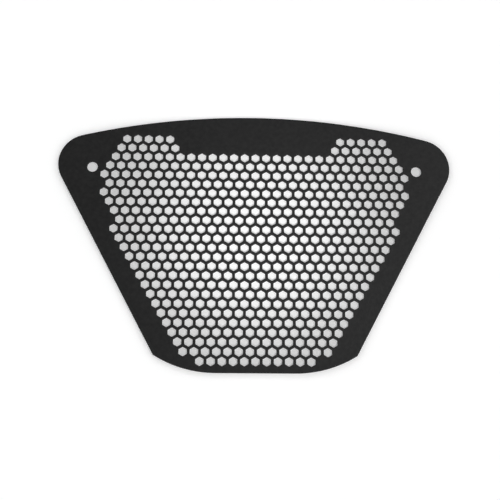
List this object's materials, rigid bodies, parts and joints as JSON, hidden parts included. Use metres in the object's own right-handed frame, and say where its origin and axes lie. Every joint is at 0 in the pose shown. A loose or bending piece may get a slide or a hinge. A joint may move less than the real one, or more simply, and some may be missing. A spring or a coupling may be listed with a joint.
{
  "type": "motorcycle radiator guard",
  "caption": "Flat black coated sheet guard with a crowned top edge, rounded upper corners, a hexagonal mesh and a fixing hole in each upper corner.",
  "frame": {"origin": "middle of the outline's bounding box, on the back face that the guard lies on", "axes": "+X across the guard, to the right as its front is seen; +Y to the crowned top edge; +Z out of the front face"},
  "size_m": [0.256, 0.1686, 0.0016],
  "materials": {
    "black_powder_coat": "satin"
  },
  "bodies": {
    "root": {"guard_plate": "black_powder_coat"}
  },
  "joints": []
}
